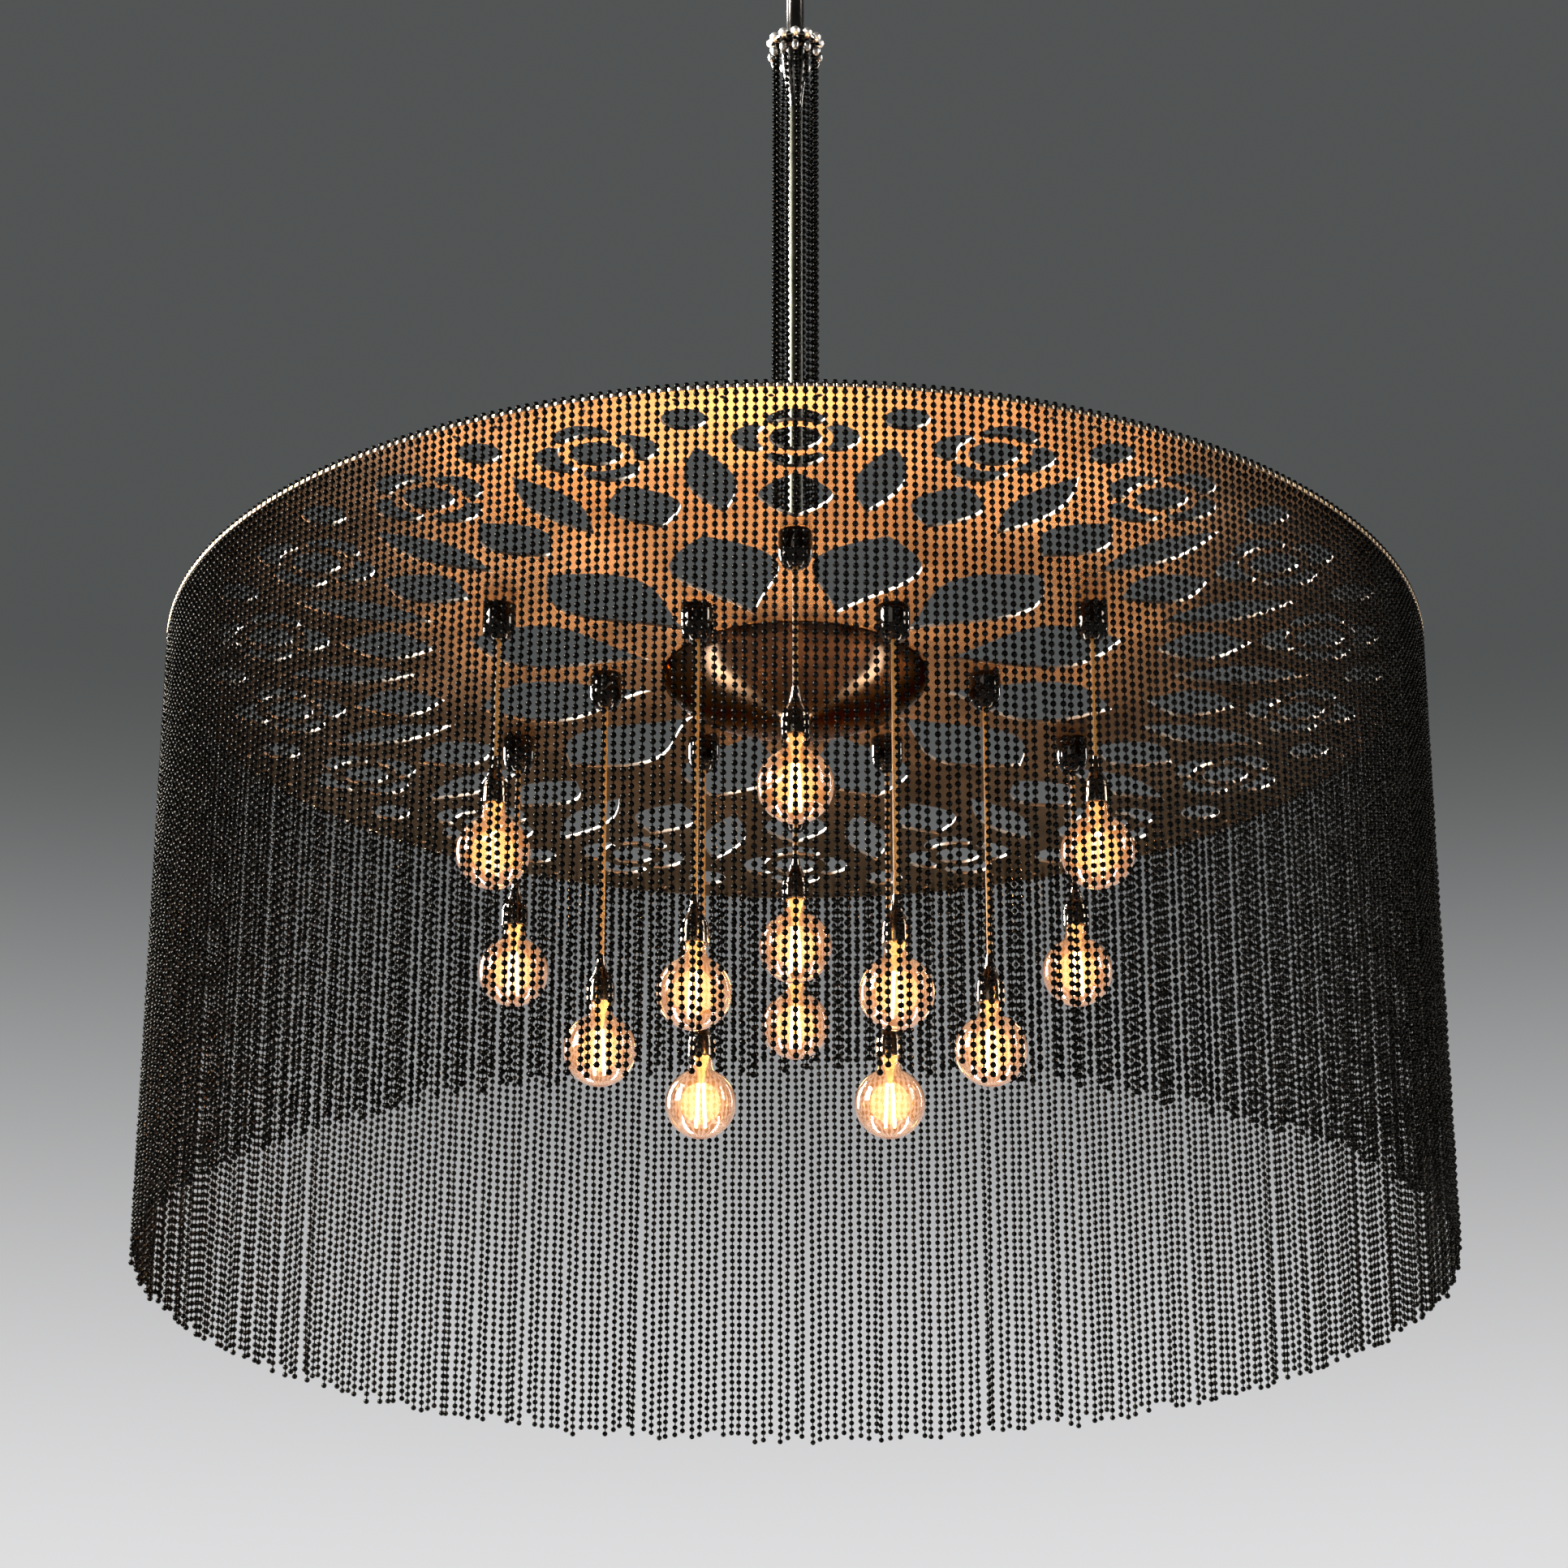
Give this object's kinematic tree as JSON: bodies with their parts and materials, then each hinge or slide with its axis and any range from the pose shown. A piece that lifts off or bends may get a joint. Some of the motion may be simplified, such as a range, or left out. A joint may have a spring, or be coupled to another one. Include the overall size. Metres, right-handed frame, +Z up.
{
  "type": "drum chandelier",
  "caption": "Drum chandelier: pierced polished round plate on a rod, curtain of hanging ball chains round its rim, globe bulb pendants inside",
  "frame": {"origin": "centre of the ceiling bracket's top face, against the ceiling", "axes": "+Z up along the stem, -Y towards the viewer of the picture"},
  "size_m": [1.007, 1.007, 1.2517],
  "materials": {
    "zinc_steel": "zinc plated",
    "dark_bronze": "polished dark bronze",
    "gunmetal_chain": "bright gunmetal plating",
    "polished_plate": "mirror polished, warm dark tint",
    "black_nickel": "polished black nickel",
    "olive_rod": "satin olive grey",
    "wired_bronze": "polished dark holder on a gold textile flex",
    "black_wiring": "matt black sleeve",
    "clear_glass": "clear, warm lit",
    "gold_flex": "braided gold textile"
  },
  "bodies": {
    "ceiling": {"ceiling_bracket": "zinc_steel"},
    "swivel": {"swivel_block": "zinc_steel"},
    "stem": {"suspension_stem": "dark_bronze"},
    "canopy": {"ceiling_canopy": "dark_bronze", "canopy_collar": "dark_bronze"},
    "drum": {"hanger_rod": "olive_rod", "chain_collar": "dark_bronze", "column_chains": "gunmetal_chain", "hub_flange": "dark_bronze", "rosette_plate": "polished_plate", "wiring_harness": "black_wiring", "middle_dome": "black_nickel", "cord_grip_outer_1": "black_nickel", "cord_grip_outer_2": "black_nickel", "cord_grip_outer_3": "black_nickel", "cord_grip_outer_4": "black_nickel", "cord_grip_outer_5": "black_nickel", "cord_grip_outer_6": "black_nickel", "cord_grip_inner_1": "black_nickel", "cord_grip_inner_2": "black_nickel", "cord_grip_inner_3": "black_nickel", "cord_grip_inner_4": "black_nickel", "cord_grip_inner_5": "black_nickel", "cord_grip_inner_6": "black_nickel", "curtain_sector_1": "gunmetal_chain", "curtain_sector_2": "gunmetal_chain", "curtain_sector_3": "gunmetal_chain", "curtain_sector_4": "gunmetal_chain", "curtain_sector_5": "gunmetal_chain", "curtain_sector_6": "gunmetal_chain", "curtain_sector_7": "gunmetal_chain", "curtain_sector_8": "gunmetal_chain", "curtain_sector_9": "gunmetal_chain", "curtain_sector_10": "gunmetal_chain"},
    "pendant_middle": {"lampholder_middle": "wired_bronze"},
    "globe_middle": {"bulb_middle": "clear_glass"},
    "pendant_outer_1": {"lampholder_outer_1": "wired_bronze"},
    "globe_outer_1": {"bulb_outer_1": "clear_glass"},
    "pendant_outer_2": {"lampholder_outer_2": "wired_bronze"},
    "globe_outer_2": {"bulb_outer_2": "clear_glass"},
    "pendant_outer_3": {"lampholder_outer_3": "wired_bronze"},
    "globe_outer_3": {"bulb_outer_3": "clear_glass"},
    "pendant_outer_4": {"lampholder_outer_4": "wired_bronze"},
    "globe_outer_4": {"bulb_outer_4": "clear_glass"},
    "pendant_outer_5": {"lampholder_outer_5": "wired_bronze"},
    "globe_outer_5": {"bulb_outer_5": "clear_glass"},
    "pendant_outer_6": {"lampholder_outer_6": "wired_bronze"},
    "globe_outer_6": {"bulb_outer_6": "clear_glass"},
    "pendant_inner_1": {"lampholder_inner_1": "wired_bronze"},
    "globe_inner_1": {"bulb_inner_1": "clear_glass"},
    "pendant_inner_2": {"lampholder_inner_2": "wired_bronze"},
    "globe_inner_2": {"bulb_inner_2": "clear_glass"},
    "pendant_inner_3": {"lampholder_inner_3": "wired_bronze"},
    "globe_inner_3": {"bulb_inner_3": "clear_glass"},
    "pendant_inner_4": {"lampholder_inner_4": "wired_bronze"},
    "globe_inner_4": {"bulb_inner_4": "clear_glass"},
    "pendant_inner_5": {"lampholder_inner_5": "wired_bronze"},
    "globe_inner_5": {"bulb_inner_5": "clear_glass"},
    "pendant_inner_6": {"lampholder_inner_6": "wired_bronze"},
    "globe_inner_6": {"bulb_inner_6": "clear_glass"}
  },
  "joints": [
    {"name": "stem_swing", "type": "hinge", "parent": "ceiling", "child": "swivel", "pos_m": [0, 0, -0.02], "axis": [1, 0, 0], "range_deg": [-4, 4]},
    {"name": "stem_tilt", "type": "hinge", "parent": "swivel", "child": "stem", "pos_m": [0, 0, -0.04], "axis": [0, 1, 0], "range_deg": [-4, 4]},
    {"name": "canopy_slide", "type": "slide", "parent": "stem", "child": "canopy", "axis": [0, 0, -1], "range_m": [0, 0.08]},
    {"name": "drum_turn", "type": "hinge", "parent": "stem", "child": "drum", "pos_m": [0, 0, -0.16], "axis": [0, 0, 1], "range_deg": [-170, 170]},
    {"name": "pendant_middle_swing", "type": "hinge", "parent": "drum", "child": "pendant_middle", "pos_m": [0, 0, -0.8055], "axis": [-1, 0, 0], "range_deg": [-15, 15]},
    {"name": "bulb_middle_unscrew", "type": "hinge", "parent": "pendant_middle", "child": "globe_middle", "pos_m": [0, 0, -0.983], "axis": [0, 0, -1], "range_deg": [0, 1080]},
    {"name": "pendant_outer_1_swing", "type": "hinge", "parent": "drum", "child": "pendant_outer_1", "pos_m": [0, -0.265, -0.7745], "axis": [-1, 0, 0], "range_deg": [-15, 15]},
    {"name": "bulb_outer_1_unscrew", "type": "hinge", "parent": "pendant_outer_1", "child": "globe_outer_1", "pos_m": [0, -0.265, -0.955], "axis": [0, 0, -1], "range_deg": [0, 1080]},
    {"name": "pendant_outer_2_swing", "type": "hinge", "parent": "drum", "child": "pendant_outer_2", "pos_m": [0.2295, -0.1325, -0.7745], "axis": [-0.5, -0.866, 0], "range_deg": [-15, 15]},
    {"name": "bulb_outer_2_unscrew", "type": "hinge", "parent": "pendant_outer_2", "child": "globe_outer_2", "pos_m": [0.2295, -0.1325, -0.955], "axis": [0, 0, -1], "range_deg": [0, 1080]},
    {"name": "pendant_outer_3_swing", "type": "hinge", "parent": "drum", "child": "pendant_outer_3", "pos_m": [0.2295, 0.1325, -0.7745], "axis": [0.5, -0.866, 0], "range_deg": [-15, 15]},
    {"name": "bulb_outer_3_unscrew", "type": "hinge", "parent": "pendant_outer_3", "child": "globe_outer_3", "pos_m": [0.2295, 0.1325, -0.955], "axis": [0, 0, -1], "range_deg": [0, 1080]},
    {"name": "pendant_outer_4_swing", "type": "hinge", "parent": "drum", "child": "pendant_outer_4", "pos_m": [0, 0.265, -0.7745], "axis": [1, 0, 0], "range_deg": [-15, 15]},
    {"name": "bulb_outer_4_unscrew", "type": "hinge", "parent": "pendant_outer_4", "child": "globe_outer_4", "pos_m": [0, 0.265, -0.955], "axis": [0, 0, -1], "range_deg": [0, 1080]},
    {"name": "pendant_outer_5_swing", "type": "hinge", "parent": "drum", "child": "pendant_outer_5", "pos_m": [-0.2295, 0.1325, -0.7745], "axis": [0.5, 0.866, 0], "range_deg": [-15, 15]},
    {"name": "bulb_outer_5_unscrew", "type": "hinge", "parent": "pendant_outer_5", "child": "globe_outer_5", "pos_m": [-0.2295, 0.1325, -0.955], "axis": [0, 0, -1], "range_deg": [0, 1080]},
    {"name": "pendant_outer_6_swing", "type": "hinge", "parent": "drum", "child": "pendant_outer_6", "pos_m": [-0.2295, -0.1325, -0.7745], "axis": [-0.5, 0.866, 0], "range_deg": [-15, 15]},
    {"name": "bulb_outer_6_unscrew", "type": "hinge", "parent": "pendant_outer_6", "child": "globe_outer_6", "pos_m": [-0.2295, -0.1325, -0.955], "axis": [0, 0, -1], "range_deg": [0, 1080]},
    {"name": "pendant_inner_1_swing", "type": "hinge", "parent": "drum", "child": "pendant_inner_1", "pos_m": [0.076, -0.13164, -0.7745], "axis": [-0.866, -0.5, 0], "range_deg": [-15, 15]},
    {"name": "bulb_inner_1_unscrew", "type": "hinge", "parent": "pendant_inner_1", "child": "globe_inner_1", "pos_m": [0.076, -0.13164, -1.068], "axis": [0, 0, -1], "range_deg": [0, 1080]},
    {"name": "pendant_inner_2_swing", "type": "hinge", "parent": "drum", "child": "pendant_inner_2", "pos_m": [0.152, 0, -0.7745], "axis": [0, -1, 0], "range_deg": [-15, 15]},
    {"name": "bulb_inner_2_unscrew", "type": "hinge", "parent": "pendant_inner_2", "child": "globe_inner_2", "pos_m": [0.152, 0, -1.068], "axis": [0, 0, -1], "range_deg": [0, 1080]},
    {"name": "pendant_inner_3_swing", "type": "hinge", "parent": "drum", "child": "pendant_inner_3", "pos_m": [0.076, 0.13164, -0.7745], "axis": [0.866, -0.5, 0], "range_deg": [-15, 15]},
    {"name": "bulb_inner_3_unscrew", "type": "hinge", "parent": "pendant_inner_3", "child": "globe_inner_3", "pos_m": [0.076, 0.13164, -1.068], "axis": [0, 0, -1], "range_deg": [0, 1080]},
    {"name": "pendant_inner_4_swing", "type": "hinge", "parent": "drum", "child": "pendant_inner_4", "pos_m": [-0.076, 0.13164, -0.7745], "axis": [0.866, 0.5, 0], "range_deg": [-15, 15]},
    {"name": "bulb_inner_4_unscrew", "type": "hinge", "parent": "pendant_inner_4", "child": "globe_inner_4", "pos_m": [-0.076, 0.13164, -1.068], "axis": [0, 0, -1], "range_deg": [0, 1080]},
    {"name": "pendant_inner_5_swing", "type": "hinge", "parent": "drum", "child": "pendant_inner_5", "pos_m": [-0.152, 0, -0.7745], "axis": [0, 1, 0], "range_deg": [-15, 15]},
    {"name": "bulb_inner_5_unscrew", "type": "hinge", "parent": "pendant_inner_5", "child": "globe_inner_5", "pos_m": [-0.152, 0, -1.068], "axis": [0, 0, -1], "range_deg": [0, 1080]},
    {"name": "pendant_inner_6_swing", "type": "hinge", "parent": "drum", "child": "pendant_inner_6", "pos_m": [-0.076, -0.13164, -0.7745], "axis": [-0.866, 0.5, 0], "range_deg": [-15, 15]},
    {"name": "bulb_inner_6_unscrew", "type": "hinge", "parent": "pendant_inner_6", "child": "globe_inner_6", "pos_m": [-0.076, -0.13164, -1.068], "axis": [0, 0, -1], "range_deg": [0, 1080]}
  ]
}
